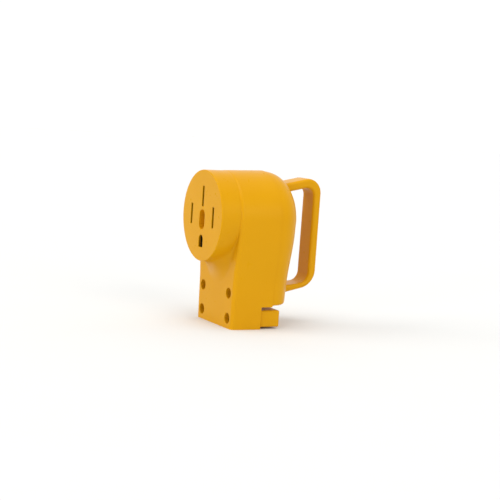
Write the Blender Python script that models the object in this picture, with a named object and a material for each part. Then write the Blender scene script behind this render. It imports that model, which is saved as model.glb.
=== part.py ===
"""Wire-it-yourself 50 A caravan cord connector, female, with a carrying handle.

The connector stands upright on the cable end of its front housing. Its round
mating face looks along -Y, the handle is at the back, and the cable comes in
from below between the front housing and a screwed cable clamp.

Every shape is drawn in millimetres in the connector's own frame: X across,
Y as the depth behind the mating face and Z as the rise above the barrel's
axis. place() then puts each part where it belongs, in metres, with the world's
origin under the middle of the connector.
"""

import math

import bmesh
import bpy
from mathutils import Matrix, Vector

MM = 0.001
GAP = 0.3

# Overall shape
FACE_RADIUS = 40.0
AXIS_HEIGHT = 95.7
TOTAL_DEPTH = 112.8
WALL = 3.0
SHOULDER_DEPTH = 17.5
SPLIT_DEPTH = 56.0
REAR_DEPTH = 80.1
BODY_RADIUS = 41.9
BODY_ARC_RISE = -1.7
DRAFT = 0.00065
NECK_HALF_WIDTH = 36.2
FOOT_HALF_WIDTH = 35.2
TAPER_TOP, TAPER_BOTTOM = -12.0, -60.0
FOOT_RISE = -AXIS_HEIGHT

# Front housing
FACE_THICKNESS = 3.5
SKIN, RELIEF_WIDTH, RELIEF_MARGIN = 0.9, 8.6, 1.0
BARREL_BORE = 36.7
SHOULDER_ROUND = 3.5
SCOOP_SIDE, SCOOP_REACH, SCOOP_DEPTH = 0.8, 19.5, 16.8
POCKET = dict(width=10.6, length=17.8, rise=-3.5, depth=6.2, wall=1.6)
CHAMBER_FLOOR = -73.0
SKIRT_RISE = -76.0

# Rear housing and handle
REAR_INSET = 0.7
REAR_ROUND = 22.0
REAR_LEAN = 3.9
REAR_FOOT_ROUND = 2.4
REAR_FLOOR = -75.0
LIP_DEPTH = 53.0
HANDLE_WIDTH = 22.0
HANDLE_THICKNESS = 7.4
HANDLE_ROUND = 2.6

# Mating pattern: X across and rise of each socket
HOT_OFFSET = 21.6
NEUTRAL_RISE = 16.9
GROUND_RISE = -22.4
SLOT_WIDTH, SLOT_LENGTH = 3.4, 18.0
GROUND_WIDTH, GROUND_LENGTH = 8.2, 10.8

# Insulating carrier and what holds it
CARRIER_RADIUS = 35.5
CARRIER_FRONT, CARRIER_REAR = 3.8, 28.9
CAVITY_FRONT = 9.0
RETAINER_REAR = 31.7
CARRIER_SCREW_X, CARRIER_SCREW_RISE = 18.0, 20.0
CARRIER_SCREW_RADIUS = 1.6
CARRIER_BOSS_RADIUS, CARRIER_BOSS_DEPTH = 4.1, 9.2

# Contacts and terminals, as depths behind the mating face
FINGER_TIP = 10.0
SHOULDER_FRONT, SHOULDER_REAR = 27.3, 28.8
BOX_HALF_WIDTH, BOX_HALF_LENGTH = 7.5, 7.0
WEB_FRONT, WEB_REAR = 37.0, 38.8
STRIP = 1.5
PLATE_THICKNESS = 1.5
TERMINAL_SCREW_RADIUS = 2.4

# Cable entry, clamp and the screws in the lower block
CABLE_DEPTH = 45.5
CABLE_RADIUS = 13.4
GRIP_GROOVE = 1.1
CLAMP_HALF_WIDTH = 34.2
CLAMP_REAR = 65.0
CLAMP_TOP, CLAMP_BOTTOM = -79.2, -94.0
SCREW_X = 25.7
HOUSING_SCREW_RISE, CLAMP_SCREW_RISE = -64.9, -86.9
WELL_RADIUS = 4.7
HOUSING_SCREW = dict(radius=2.0, head_radius=4.0, head=3.0, seat=36.0, tip=60.0)
CLAMP_SCREW = dict(radius=2.5, head_radius=4.3, head=3.2, seat=34.0, tip=64.0)
NUT_SIDE, NUT_DEPTH, NUT_THICKNESS = 8.0, 52.3, 4.0
BOSS_RADIUS, BOSS_MEETING = 6.5, 50.0

SIDES = ((-1, "left"), (1, "right"))
ORIGIN = Vector((0.0, -TOTAL_DEPTH / 2, AXIS_HEIGHT))


# ---- Scene, collections and materials ---------------------------------------


def clear_scene():
    for obj in list(bpy.data.objects):
        bpy.data.objects.remove(obj)


def new_collection(name):
    collection = bpy.data.collections.new(name)
    bpy.context.scene.collection.children.link(collection)
    return collection


def plastic_or_metal(name, colour, roughness, metallic=0.0):
    material = bpy.data.materials.new(name)
    material.use_nodes = True
    shader = material.node_tree.nodes["Principled BSDF"]
    shader.inputs["Base Color"].default_value = (*colour, 1.0)
    shader.inputs["Roughness"].default_value = roughness
    shader.inputs["Metallic"].default_value = metallic
    return material


# ---- Solids, in millimetres -------------------------------------------------


def solid(bm):
    """A helper object holding the finished bmesh, its faces pointing out."""
    bmesh.ops.recalc_face_normals(bm, faces=bm.faces)
    mesh = bpy.data.meshes.new("solid")
    bm.to_mesh(mesh)
    bm.free()
    obj = bpy.data.objects.new("solid", mesh)
    bpy.context.scene.collection.objects.link(obj)
    return obj


def block(low, high, rounding=0.0, segments=2):
    """A box between two corners, with all its edges rounded if asked."""
    bm = bmesh.new()
    size = Vector(high) - Vector(low)
    centre = (Vector(high) + Vector(low)) / 2
    bmesh.ops.create_cube(bm, size=1.0, matrix=Matrix.Translation(centre) @ Matrix.Diagonal((*size, 1.0)))
    if rounding:
        bmesh.ops.bevel(bm, geom=bm.edges[:], offset=rounding, segments=segments, profile=0.5, affect="EDGES")
    return solid(bm)


def rod(radius, front, rear, x=0.0, rise=0.0, segments=20, rim=0.0):
    """A cylinder along Y. Its front rim can be rounded."""
    bm = bmesh.new()
    turn = Matrix.Rotation(math.radians(90), 4, "X")
    middle = Matrix.Translation((x, (front + rear) / 2, rise))
    bmesh.ops.create_cone(
        bm, cap_ends=True, segments=segments, radius1=radius, radius2=radius,
        depth=rear - front, matrix=middle @ turn,
    )
    if rim:
        edges = [e for e in bm.edges if all(abs(v.co.y - front) < 1e-4 for v in e.verts)]
        bmesh.ops.bevel(bm, geom=edges, offset=rim, segments=2, profile=0.5, affect="EDGES")
    return solid(bm)


def upright_rod(radius, bottom, top, y, segments=28):
    bm = bmesh.new()
    bmesh.ops.create_cone(
        bm, cap_ends=True, segments=segments, radius1=radius, radius2=radius,
        depth=top - bottom, matrix=Matrix.Translation((0, y, (bottom + top) / 2)),
    )
    return solid(bm)


def prism(outline, front, rear, front_round=0.0, rear_round=0.0, segments=3):
    """An outline of (x, rise) points carried from front to rear, with rounded rims."""
    bm = bmesh.new()
    face = bm.faces.new([bm.verts.new((x, front, rise)) for x, rise in outline])
    grown = bmesh.ops.extrude_face_region(bm, geom=[face])["geom"]
    far = [v for v in grown if isinstance(v, bmesh.types.BMVert)]
    bmesh.ops.translate(bm, vec=(0, rear - front, 0), verts=far)
    for depth, size in ((front, front_round), (rear, rear_round)):
        if size:
            rim = [e for e in bm.edges if all(abs(v.co.y - depth) < 1e-4 for v in e.verts)]
            bmesh.ops.bevel(
                bm, geom=rim, offset=size, segments=segments, profile=0.5,
                affect="EDGES", clamp_overlap=False,
            )
    return solid(bm)


def loft(rings):
    """A solid through matching rings of points, closed at the first and the last."""
    bm = bmesh.new()
    loops = [[bm.verts.new(point) for point in ring] for ring in rings]
    for near, far in zip(loops, loops[1:]):
        for k in range(len(near)):
            following = (k + 1) % len(near)
            bm.faces.new((near[k], near[following], far[following], far[k]))
    bm.faces.new(loops[0])
    bm.faces.new(reversed(loops[-1]))
    return solid(bm)


def strap(outer, inner, half, rounding, steps=3):
    """A bent strap between an outer and an inner line of (y, rise) points that match one for one.

    It reaches HALF each way along X, and its long edges are rounded.
    """
    rings = []
    for far, near in zip(outer, inner):
        near, far = Vector(near), Vector(far)
        middle, across = (near + far) / 2, (far - near).normalized()
        reach = (far - near).length / 2
        edge = min(rounding, 0.95 * reach)
        ring = []
        for quarter, (side, way) in enumerate(((1, 1), (-1, 1), (-1, -1), (1, -1))):
            for k in range(steps + 1):
                turn = math.pi / 2 * (quarter + k / steps)
                x = side * (half - edge) + edge * math.cos(turn)
                ring.append((x, *(middle + across * (way * (reach - edge) + edge * math.sin(turn)))))
        rings.append(ring)
    return loft(rings)


def combine(target, tools, operation):
    """Joins helper solids to the target, or cuts them from it, one after another."""
    for tool in tools:
        modifier = target.modifiers.new("combine", "BOOLEAN")
        modifier.object = tool
        modifier.operation = operation
        graph = bpy.context.evaluated_depsgraph_get()
        mesh = bpy.data.meshes.new_from_object(target.evaluated_get(graph))
        target.modifiers.clear()
        target.data = mesh
        bpy.data.objects.remove(tool)
    return target


def join(target, *tools):
    return combine(target, tools, "UNION")


def cut(target, *tools):
    return combine(target, tools, "DIFFERENCE")


def place(obj, name, material, pivot=(0.0, 0.0, 0.0), smooth_angle=35.0):
    """Names a solid, moves its origin to the pivot, and puts it in the connector in metres."""
    pivot = Vector(pivot)
    mesh = obj.data
    mesh.transform(Matrix.Scale(MM, 4) @ Matrix.Translation(-pivot))
    mesh.materials.clear()
    mesh.materials.append(material)
    mesh.shade_smooth()
    mesh.set_sharp_from_angle(angle=math.radians(smooth_angle))
    mesh.name = name
    obj.name = name
    obj.location = (ORIGIN + pivot) * MM
    bpy.context.scene.collection.objects.unlink(obj)
    CONNECTOR.objects.link(obj)
    return obj


# ---- Outlines ---------------------------------------------------------------


def smoothstep(share):
    share = min(max(share, 0.0), 1.0)
    return share * share * (3 - 2 * share)


def half_width(rise):
    """Half the body's width at a rise: full at the barrel, drawn in at the neck, a little less at the foot."""
    neck = smoothstep((TAPER_TOP - rise) / (TAPER_TOP - TAPER_BOTTOM))
    foot = max((TAPER_BOTTOM - rise) / (TAPER_BOTTOM - FOOT_RISE), 0.0)
    return BODY_RADIUS - neck * (BODY_RADIUS - NECK_HALF_WIDTH) - foot * (NECK_HALF_WIDTH - FOOT_HALF_WIDTH)


def body_outline(inset, bottom, arc_steps=30, side_steps=6):
    """The body seen from the front, drawn in by an inset: a half round top on drawn-in sides."""
    radius = BODY_RADIUS - inset
    arc = [
        (radius * math.cos(math.pi * i / arc_steps), BODY_ARC_RISE + radius * math.sin(math.pi * i / arc_steps))
        for i in range(arc_steps + 1)
    ]
    span = TAPER_TOP - TAPER_BOTTOM
    rises = [TAPER_TOP - span * i / side_steps for i in range(side_steps + 1)] + [bottom]
    rises = [rise for rise in rises if rise >= bottom]
    left = [(inset - half_width(rise), rise) for rise in rises]
    right = [(half_width(rise) - inset, rise) for rise in reversed(rises)]
    return arc + left + right


def body_solid(inset, bottom, front, rear, front_round=0.0, rear_round=0.0, segments=3):
    """The body's outline carried from front to rear.

    Its sides and top widen with depth as far as the parting plane, as a
    moulding's draft does, and its rear wall leans in towards the foot.
    """
    body = prism(body_outline(inset, bottom), front, rear, front_round, rear_round, segments)
    for vertex in body.data.vertices:
        point = vertex.co
        widening = 1.0 + DRAFT * (min(point.y, SPLIT_DEPTH) - SHOULDER_DEPTH)
        behind = max(point.y - SPLIT_DEPTH, 0.0) / (REAR_DEPTH - SPLIT_DEPTH)
        down = max(point.z / REAR_FLOOR, 0.0)
        point.x *= widening
        point.z *= widening if point.z > 0.0 else 1.0
        point.y -= REAR_LEAN * behind * down
    return body


def obround(width, length, x, rise, steps=6):
    """A slot with round ends, longer in Z."""
    radius = width / 2
    reach = length / 2 - radius
    top = [
        (x + radius * math.cos(math.pi * i / steps), rise + reach + radius * math.sin(math.pi * i / steps))
        for i in range(steps + 1)
    ]
    bottom = [(2 * x - px, 2 * rise - pz) for px, pz in top]
    return top + bottom


def rectangle(width, length, x, rise):
    return [(x + sx * width / 2, rise + sz * length / 2) for sx, sz in ((1, 1), (-1, 1), (-1, -1), (1, -1))]


def ground_outline(width, length, x, rise, steps=8):
    """The ground socket's outline: round above, flat below."""
    radius = width / 2
    centre = rise + length / 2 - radius
    arc = [
        (x + radius * math.cos(math.pi * i / steps), centre + radius * math.sin(math.pi * i / steps))
        for i in range(steps + 1)
    ]
    return arc + [(x - radius, rise - length / 2), (x + radius, rise - length / 2)]


# ---- Front housing ----------------------------------------------------------


def scoop():
    """The hollow sweep from the barrel down to the front of the lower block.

    It is a hollow fillet round the lower half of the barrel, narrow at the
    sides. At the bottom it runs from just behind the mating face's rim to far
    down the block.
    """
    first, last, turns, steps = -174.0, -6.0, 28, 5
    bm = bmesh.new()
    rings = []
    for i in range(turns + 1):
        angle = math.radians(first + (last - first) * i / turns)
        below = max((-math.sin(angle) - 0.4) / 0.6, 0.0) ** 3
        reach = SCOOP_SIDE + (SCOOP_REACH - SCOOP_SIDE) * below
        depth = min(reach, SCOOP_DEPTH)
        section = [(FACE_RADIUS - 2.0, SHOULDER_DEPTH + 1.5), (FACE_RADIUS - 2.0, SHOULDER_DEPTH - depth)]
        for k in range(steps + 1):
            bend = math.pi / 2 * k / steps
            section.append(
                (FACE_RADIUS + reach * (1 - math.cos(bend)), SHOULDER_DEPTH - depth * (1 - math.sin(bend)))
            )
        section.append((FACE_RADIUS + reach, SHOULDER_DEPTH + 1.5))
        rings.append([bm.verts.new((r * math.cos(angle), y, r * math.sin(angle))) for r, y in section])
    for near, far in zip(rings, rings[1:]):
        for k in range(len(near)):
            following = (k + 1) % len(near)
            bm.faces.new((near[k], near[following], far[following], far[k]))
    bm.faces.new(rings[0])
    bm.faces.new(reversed(rings[-1]))
    return solid(bm)


def socket_cutters(grow, front, rear):
    """Cutters for the four sockets' openings, each GROW larger all round."""
    slot = (SLOT_WIDTH + 2 * grow, SLOT_LENGTH + 2 * grow)
    ground = (GROUND_WIDTH + 2 * grow, GROUND_LENGTH + 2 * grow)
    return [
        prism(rectangle(*slot, -HOT_OFFSET, 0.0), front, rear),
        prism(rectangle(*slot, HOT_OFFSET, 0.0), front, rear),
        prism(rectangle(*slot, 0.0, NEUTRAL_RISE), front, rear),
        prism(ground_outline(*ground, 0.0, GROUND_RISE), front, rear),
    ]


def socket_reliefs():
    """Cutters that thin the face from behind round each socket, down to a skin."""
    slot = (RELIEF_WIDTH, SLOT_LENGTH + 2 * RELIEF_MARGIN)
    outlines = [rectangle(*slot, x, rise) for x, rise in ((-HOT_OFFSET, 0.0), (HOT_OFFSET, 0.0), (0.0, NEUTRAL_RISE))]
    outlines.append(rectangle(RELIEF_WIDTH + 4.0, GROUND_LENGTH + 2 * RELIEF_MARGIN, 0.0, GROUND_RISE))
    return [prism(outline, SKIN, FACE_THICKNESS + 0.5) for outline in outlines]


def carrier_screw_places():
    return [(sx * CARRIER_SCREW_X, sz * CARRIER_SCREW_RISE) for sx in (-1, 1) for sz in (-1, 1)]


def cable_cutter(bottom, top):
    """The cable's round passage, with grooves that leave gripping ribs between them."""
    passage = upright_rod(CABLE_RADIUS, bottom, top, CABLE_DEPTH)
    middle = (CLAMP_TOP + CLAMP_BOTTOM) / 2
    grooves = [
        upright_rod(CABLE_RADIUS + GRIP_GROOVE, middle + shift - 1.3, middle + shift + 1.3, CABLE_DEPTH)
        for shift in (-4.2, 0.0, 4.2)
    ]
    return join(passage, *grooves)


def front_housing(material):
    """The yellow front moulding: mating face, barrel, body shell and lower block in one piece."""
    shell = body_solid(0.0, FOOT_RISE - 10, SHOULDER_DEPTH, SPLIT_DEPTH, front_round=SHOULDER_ROUND)
    join(shell, rod(FACE_RADIUS, 0.0, SHOULDER_DEPTH + 6.0, segments=64, rim=0.8), scoop())
    cut(
        shell,
        block((-60, 0, FOOT_RISE - 20), (60, SPLIT_DEPTH + 5, FOOT_RISE)),
        rod(BARREL_BORE, FACE_THICKNESS, SHOULDER_DEPTH + WALL + 1.0, segments=48),
        body_solid(WALL, CHAMBER_FLOOR, SHOULDER_DEPTH + WALL, SPLIT_DEPTH + 5.0),
        block((-60, CABLE_DEPTH, FOOT_RISE - 5), (60, SPLIT_DEPTH + 5, SKIRT_RISE)),
    )
    pocket_outer = obround(
        POCKET["width"] + 2 * POCKET["wall"], POCKET["length"] + 2 * POCKET["wall"], 0.0, POCKET["rise"]
    )
    join(
        shell,
        prism(pocket_outer, FACE_THICKNESS - 1.0, POCKET["depth"] + POCKET["wall"]),
        *[
            rod(CARRIER_BOSS_RADIUS, FACE_THICKNESS - 1.0, CARRIER_BOSS_DEPTH, x, rise, segments=16)
            for x, rise in carrier_screw_places()
        ],
        *[
            rod(BOSS_RADIUS, SHOULDER_DEPTH + 1.5, BOSS_MEETING, side * SCREW_X, HOUSING_SCREW_RISE)
            for side in (-1, 1)
        ],
    )
    cut(
        shell,
        prism(obround(POCKET["width"], POCKET["length"], 0.0, POCKET["rise"]), -1.0, POCKET["depth"]),
        *socket_cutters(0.0, -1.0, FACE_THICKNESS + 1.0),
        *[
            rod(CARRIER_SCREW_RADIUS + GAP, FACE_THICKNESS + 1.3, CARRIER_BOSS_DEPTH + 1, x, rise, segments=12)
            for x, rise in carrier_screw_places()
        ],
        cable_cutter(FOOT_RISE - 5, CHAMBER_FLOOR + 5),
        *socket_reliefs(),
    )
    for screw, rise in ((HOUSING_SCREW, HOUSING_SCREW_RISE), (CLAMP_SCREW, CLAMP_SCREW_RISE)):
        for side in (-1, 1):
            cut(
                shell,
                rod(WELL_RADIUS, SHOULDER_DEPTH - 5, screw["seat"], side * SCREW_X, rise),
                rod(screw["radius"] + GAP, screw["seat"] - 1, BOSS_MEETING + 5, side * SCREW_X, rise, 16),
            )
    return place(shell, "front_housing", material)


# ---- Rear housing -----------------------------------------------------------


def bend(centre, radius, start, end, steps=7):
    """Points of an arc in the side view, between two angles in degrees."""
    points = []
    for i in range(steps + 1):
        angle = math.radians(start + (end - start) * i / steps)
        points.append((centre[0] + radius * math.cos(angle), centre[1] + radius * math.sin(angle)))
    return points


def handle():
    """The strap handle, drawn in side view as an outer line and an inner line."""
    back = TOTAL_DEPTH
    inner = back - HANDLE_THICKNESS
    outer_line = [(66.0, 28.9), (82.0, 32.2)]
    outer_line += bend((back - 13.0, 22.8), 13.0, 98.0, 0.0)
    outer_line += bend((back - 17.2, -46.8), 16.8, 0.0, -75.0)
    outer_line += [(82.0, -67.2), (66.0, -70.6)]
    inner_line = [(66.0, 20.5), (84.0, 24.4)]
    inner_line += bend((inner - 7.0, 20.4), 7.0, 100.0, 0.0)
    inner_line += bend((inner - 10.4, -49.3), 9.8, 0.0, -72.0)
    inner_line += [(88.0, -60.0), (66.0, -61.6)]
    return strap(outer_line, inner_line, HANDLE_WIDTH / 2, HANDLE_ROUND)


def round_foot(obj, rise, size):
    """Rounds the outer bottom edge of a cover that has just been cut flat at a rise."""
    bm = bmesh.new()
    bm.from_mesh(obj.data)
    rim = [
        edge for edge in bm.edges
        if all(abs(v.co.z - rise) < 1e-3 for v in edge.verts)
        and any(v.co.y > SPLIT_DEPTH + 2.0 for v in edge.verts)
        and len({face.normal.z < -0.99 for face in edge.link_faces}) == 2
    ]
    bmesh.ops.bevel(bm, geom=rim, offset=size, segments=2, profile=0.5, affect="EDGES", clamp_overlap=False)
    bm.to_mesh(obj.data)
    bm.free()


def rear_housing(material):
    """The yellow rear moulding: a domed cover with the handle, the fixing bosses and a locating lip."""
    below = REAR_FLOOR - 40
    front = SPLIT_DEPTH + GAP
    shell = body_solid(REAR_INSET, below, front, REAR_DEPTH, rear_round=REAR_ROUND, segments=6)
    cut(shell, block((-60, 20, below - 5), (60, 110, REAR_FLOOR)))
    round_foot(shell, REAR_FLOOR, REAR_FOOT_ROUND)
    join(shell, handle())
    hollow = body_solid(
        REAR_INSET + WALL, below, front - 2.0, REAR_DEPTH - WALL, rear_round=REAR_ROUND - WALL, segments=5
    )
    cut(hollow, block((-60, 20, below - 5), (60, 110, CHAMBER_FLOOR)))
    cut(shell, hollow)
    lip = body_solid(WALL + GAP, CHAMBER_FLOOR + GAP, LIP_DEPTH, front + 4.0)
    cut(lip, body_solid(WALL + GAP + 2.0, CHAMBER_FLOOR + GAP + 2.0, LIP_DEPTH - 1, front + 5.0))
    join(shell, lip)
    for side in (-1, 1):
        x = side * SCREW_X
        boss = rod(BOSS_RADIUS - 1.0, BOSS_MEETING + GAP, REAR_DEPTH, x, HOUSING_SCREW_RISE)
        within = body_solid(
            REAR_INSET + WALL / 2, below, BOSS_MEETING - 5, REAR_DEPTH - WALL / 2,
            rear_round=REAR_ROUND - WALL / 2, segments=5,
        )
        join(shell, combine(boss, [within], "INTERSECT"))
        cut(shell, rod(3.9, BOSS_MEETING - 1, 62.5, x, HOUSING_SCREW_RISE))
    cut(shell, upright_rod(CABLE_RADIUS + 2.0, REAR_FLOOR - 5, CHAMBER_FLOOR + 6.0, CABLE_DEPTH))
    return place(shell, "rear_housing", material)


# ---- Cable clamp ------------------------------------------------------------


def cable_clamp(material):
    """The rear half of the cable entry, with a pocket from behind for each captive nut."""
    body = block(
        (-CLAMP_HALF_WIDTH, CABLE_DEPTH + GAP, CLAMP_BOTTOM), (CLAMP_HALF_WIDTH, CLAMP_REAR, CLAMP_TOP), 1.5
    )
    cut(body, cable_cutter(CLAMP_BOTTOM - 5, CLAMP_TOP + 5))
    pocket = NUT_SIDE / 2 + GAP
    for side in (-1, 1):
        x = side * SCREW_X
        cut(
            body,
            rod(CLAMP_SCREW["radius"] + GAP, CABLE_DEPTH - 1, CLAMP_REAR + 1, x, CLAMP_SCREW_RISE, 16),
            block(
                (x - pocket, NUT_DEPTH - GAP, CLAMP_SCREW_RISE - pocket),
                (x + pocket, CLAMP_REAR + 1, CLAMP_SCREW_RISE + pocket),
            ),
        )
    return place(body, "cable_clamp", material, (0.0, CABLE_DEPTH, CLAMP_SCREW_RISE))


def clamp_nuts(material):
    for side, word in SIDES:
        x, half = side * SCREW_X, NUT_SIDE / 2
        nut = block(
            (x - half, NUT_DEPTH, CLAMP_SCREW_RISE - half),
            (x + half, NUT_DEPTH + NUT_THICKNESS, CLAMP_SCREW_RISE + half),
        )
        hole = rod(CLAMP_SCREW["radius"] + GAP, NUT_DEPTH - 1, NUT_DEPTH + 5, x, CLAMP_SCREW_RISE, 16)
        place(cut(nut, hole), f"clamp_nut_{word}", material, (x, NUT_DEPTH, CLAMP_SCREW_RISE))


# ---- Screws and inserts -----------------------------------------------------


def cross_recess(x, rise, face, depth, span=4.4, width=1.0):
    """Two crossed cutters for a driver, sunk into a head whose top is at FACE. DEPTH is negative from behind."""
    low, high = sorted((face - math.copysign(1.0, depth), face + depth))
    return [
        block((x - span / 2, low, rise - width / 2), (x + span / 2, high, rise + width / 2)),
        block((x - width / 2, low, rise - span / 2), (x + width / 2, high, rise + span / 2)),
    ]


def front_screw(screw, x, rise):
    """A pan-head screw driven from the front, in one of the wells."""
    top = screw["seat"] - GAP - screw["head"]
    body = rod(screw["head_radius"], top, screw["seat"] - GAP, x, rise, 20, rim=0.7)
    join(body, rod(screw["radius"], screw["seat"] - 1.5, screw["tip"], x, rise, 14))
    return cut(body, *cross_recess(x, rise, top, 1.8))


def rear_screw(head_radius, radius, seat, head, tip, x, rise):
    """A screw driven from behind, its head at the larger depth."""
    body = rod(head_radius, seat, seat + head, x, rise, 20)
    join(body, rod(radius, tip, seat + 1.0, x, rise, 14))
    return cut(body, *cross_recess(x, rise, seat + head, -1.4, span=min(5.0, head_radius * 1.2), width=0.9))


def lower_block_screws(material):
    """The upper pair holds the rear housing and the lower pair draws up the clamp."""
    for side, word in SIDES:
        x = side * SCREW_X
        upper = front_screw(HOUSING_SCREW, x, HOUSING_SCREW_RISE)
        place(upper, f"housing_screw_{word}", material, (x, HOUSING_SCREW["seat"], HOUSING_SCREW_RISE))
        lower = front_screw(CLAMP_SCREW, x, CLAMP_SCREW_RISE)
        place(lower, f"clamp_screw_{word}", material, (x, CLAMP_SCREW["seat"], CLAMP_SCREW_RISE))


def housing_inserts(material):
    """Brass inserts in the rear housing's bosses, drawn as plain sleeves."""
    for side, word in SIDES:
        x = side * SCREW_X
        sleeve = rod(3.6, BOSS_MEETING + 0.8, 61.5, x, HOUSING_SCREW_RISE, 18)
        bore = rod(HOUSING_SCREW["radius"] + GAP, BOSS_MEETING, 63.0, x, HOUSING_SCREW_RISE, 14)
        place(cut(sleeve, bore), f"housing_insert_{word}", material, (x, BOSS_MEETING, HOUSING_SCREW_RISE))


def carrier_screws(material):
    for x, rise in carrier_screw_places():
        screw = rear_screw(3.4, CARRIER_SCREW_RADIUS, RETAINER_REAR + GAP, 2.2, 5.6, x, rise)
        word = f"{'upper' if rise > 0 else 'lower'}_{'right' if x > 0 else 'left'}"
        place(screw, f"carrier_screw_{word}", material, (x, RETAINER_REAR, rise))


# ---- Carrier and retainer ---------------------------------------------------


def blade_stations():
    """Name and place of the three flat-blade sockets."""
    return (("hot", "left", -HOT_OFFSET, 0.0), ("hot", "right", HOT_OFFSET, 0.0), ("neutral", "", 0.0, NEUTRAL_RISE))


def contact_carrier(material):
    """The dark insulating block in the barrel, with a cavity behind every socket."""
    body = rod(CARRIER_RADIUS, CARRIER_FRONT, CARRIER_REAR, segments=40)
    cut(body, *socket_cutters(0.2, CARRIER_FRONT - 1, CAVITY_FRONT + 1))
    for _, _, x, rise in blade_stations():
        cut(
            body,
            prism(rectangle(9.4, 20.0, x, rise), CAVITY_FRONT, CARRIER_REAR + 1),
            prism(rectangle(15.6, 20.6, x, rise), SHOULDER_FRONT - GAP, CARRIER_REAR + 1),
        )
    cut(
        body,
        rod(6.6, CAVITY_FRONT, CARRIER_REAR + 1, 0.0, GROUND_RISE),
        prism(rectangle(15.6, 17.6, 0.0, GROUND_RISE), SHOULDER_FRONT - GAP, CARRIER_REAR + 1),
        prism(
            rectangle(POCKET["width"] + 2 * POCKET["wall"] + 2 * GAP, 24.4, 0.0, -2.5),
            CARRIER_FRONT - 1, POCKET["depth"] + POCKET["wall"] + GAP,
        ),
    )
    for x, rise in carrier_screw_places():
        cut(
            body,
            rod(CARRIER_BOSS_RADIUS + GAP, CARRIER_FRONT - 1, CARRIER_BOSS_DEPTH + GAP, x, rise, 16),
            rod(CARRIER_SCREW_RADIUS + GAP, CARRIER_FRONT, CARRIER_REAR + 1, x, rise, 12),
        )
    return place(body, "contact_carrier", material)


def contact_retainer(material):
    """The plate screwed on behind the carrier. Its windows let the terminals through and hold the contacts."""
    plate = rod(CARRIER_RADIUS - 1.5, CARRIER_REAR + GAP, RETAINER_REAR, segments=40)
    window = (2 * BOX_HALF_WIDTH + 0.8, 2 * BOX_HALF_LENGTH + 0.8)
    places = [(x, rise) for _, _, x, rise in blade_stations()] + [(0.0, GROUND_RISE)]
    cut(plate, *[prism(rectangle(*window, x, rise), CARRIER_REAR - 1, RETAINER_REAR + 1) for x, rise in places])
    cut(
        plate,
        *[
            rod(CARRIER_SCREW_RADIUS + GAP, CARRIER_REAR - 1, RETAINER_REAR + 1, x, rise, 12)
            for x, rise in carrier_screw_places()
        ],
    )
    return place(plate, "contact_retainer", material)


# ---- Contacts, springs and terminals ----------------------------------------


def terminal_box(x, rise, ear):
    """The rear of a contact: a flange that the retainer holds, two legs and a tapped web between them."""
    low_x, high_x = x - BOX_HALF_WIDTH, x + BOX_HALF_WIDTH
    flange = block((low_x, SHOULDER_FRONT, rise - ear), (high_x, SHOULDER_REAR, rise + ear))
    box = block(
        (low_x, SHOULDER_REAR - 0.8, rise - BOX_HALF_LENGTH), (high_x, WEB_REAR, rise + BOX_HALF_LENGTH)
    )
    join(flange, box)
    cut(
        flange,
        block(
            (low_x + STRIP, SHOULDER_REAR, rise - BOX_HALF_LENGTH - 1),
            (high_x - STRIP, WEB_FRONT, rise + BOX_HALF_LENGTH + 1),
        ),
        rod(TERMINAL_SCREW_RADIUS + GAP, WEB_FRONT - 1, WEB_REAR + 1, x, rise, 16),
    )
    return flange


def blade_contact(name, x, rise, material):
    """A brass contact for a flat blade: two fingers that pinch the blade, flared at their tips."""
    contact = terminal_box(x, rise, ear=9.8)
    inner = ((FINGER_TIP, 2.1), (FINGER_TIP + 3.5, 1.15), (FINGER_TIP + 9.0, 1.6), (SHOULDER_FRONT + 0.6, 2.2))
    cut(
        contact,
        block((x - 2.2, SHOULDER_FRONT - 1, rise - 8.4), (x + 2.2, SHOULDER_REAR + 1, rise + 8.4)),
    )
    for side in (-1, 1):
        near = [(x + side * offset, depth) for depth, offset in inner]
        far = [(x + side * (offset + 1.3), depth) for depth, offset in reversed(inner)]
        finger = prism([(px, depth) for px, depth in near + far], 0.0, 16.0)
        # The prism was drawn across depth, so a quarter turn about X stands its length up along Z.
        finger.data.transform(Matrix.Translation((0, 0, rise + 8.0)) @ Matrix(
            ((1, 0, 0, 0), (0, 0, 1, 0), (0, -1, 0, 0), (0, 0, 0, 1))
        ))
        join(contact, finger)
    return place(contact, name, material, (x, 0.0, rise))


def ground_contact(material):
    """A brass contact for the round ground pin: a slit sleeve on the same kind of terminal."""
    contact = terminal_box(0.0, GROUND_RISE, ear=8.5)
    join(contact, rod(4.7, FINGER_TIP, SHOULDER_FRONT + 0.8, 0.0, GROUND_RISE))
    cut(
        contact,
        rod(3.5, FINGER_TIP - 1, SHOULDER_REAR + 0.5, 0.0, GROUND_RISE),
        block((-0.7, FINGER_TIP - 1, GROUND_RISE - 6), (0.7, SHOULDER_FRONT - 3, GROUND_RISE + 6)),
    )
    return place(contact, "ground_contact", material, (0.0, 0.0, GROUND_RISE))


def blade_spring(name, x, rise, material):
    """A spring-steel band round the two fingers, open at its foot."""
    front, rear = FINGER_TIP + 2.0, FINGER_TIP + 7.0
    band = prism(rectangle(8.2, 18.8, x, rise), front, rear)
    cut(
        band,
        prism(rectangle(7.0, 17.6, x, rise), front - 1, rear + 1),
        block((x - 1.5, front - 1, rise - 11), (x + 1.5, rear + 1, rise - 8)),
    )
    return place(band, name, material, (x, 0.0, rise))


def ground_spring(material):
    front, rear = FINGER_TIP + 2.0, FINGER_TIP + 7.0
    band = rod(5.8, front, rear, 0.0, GROUND_RISE)
    cut(
        band,
        rod(5.1, front - 1, rear + 1, 0.0, GROUND_RISE),
        block((-1.2, front - 1, GROUND_RISE - 8), (1.2, rear + 1, GROUND_RISE)),
    )
    return place(band, "ground_spring", material, (0.0, 0.0, GROUND_RISE))


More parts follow.
